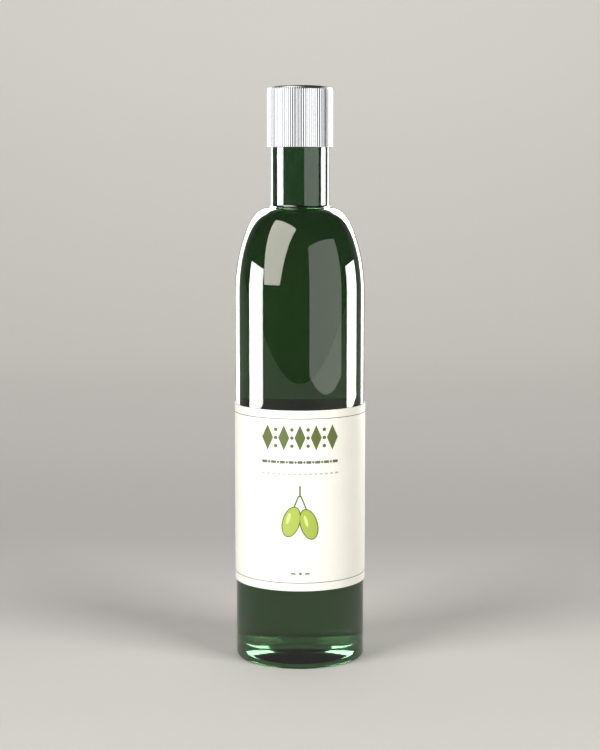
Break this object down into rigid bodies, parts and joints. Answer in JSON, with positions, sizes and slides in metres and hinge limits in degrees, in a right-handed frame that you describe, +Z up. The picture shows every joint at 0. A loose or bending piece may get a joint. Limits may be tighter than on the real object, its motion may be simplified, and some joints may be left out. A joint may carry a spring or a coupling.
{
  "type": "olive oil bottle",
  "caption": "Tall dark green glass oil bottle with rounded shoulders, a straight neck, a finely ribbed metal screw cap and a wrap-round paper label.",
  "frame": {"origin": "middle of the foot, on the surface that the bottle stands on", "axes": "+Z up the bottle's axis to the cap; the middle of the label's front faces -Y"},
  "size_m": [0.064, 0.064, 0.2787],
  "materials": {
    "dark_green_glass": "smooth dark green bottle glass",
    "olive_oil": "clear yellow-green oil",
    "label_paper": "coated off-white label paper with green print",
    "cap_aluminium": "bright rolled aluminium with fine upright ribs"
  },
  "bodies": {
    "root": {"glass_bottle": "dark_green_glass", "olive_oil": "olive_oil", "label": "label_paper", "cap": "cap_aluminium"}
  },
  "joints": []
}
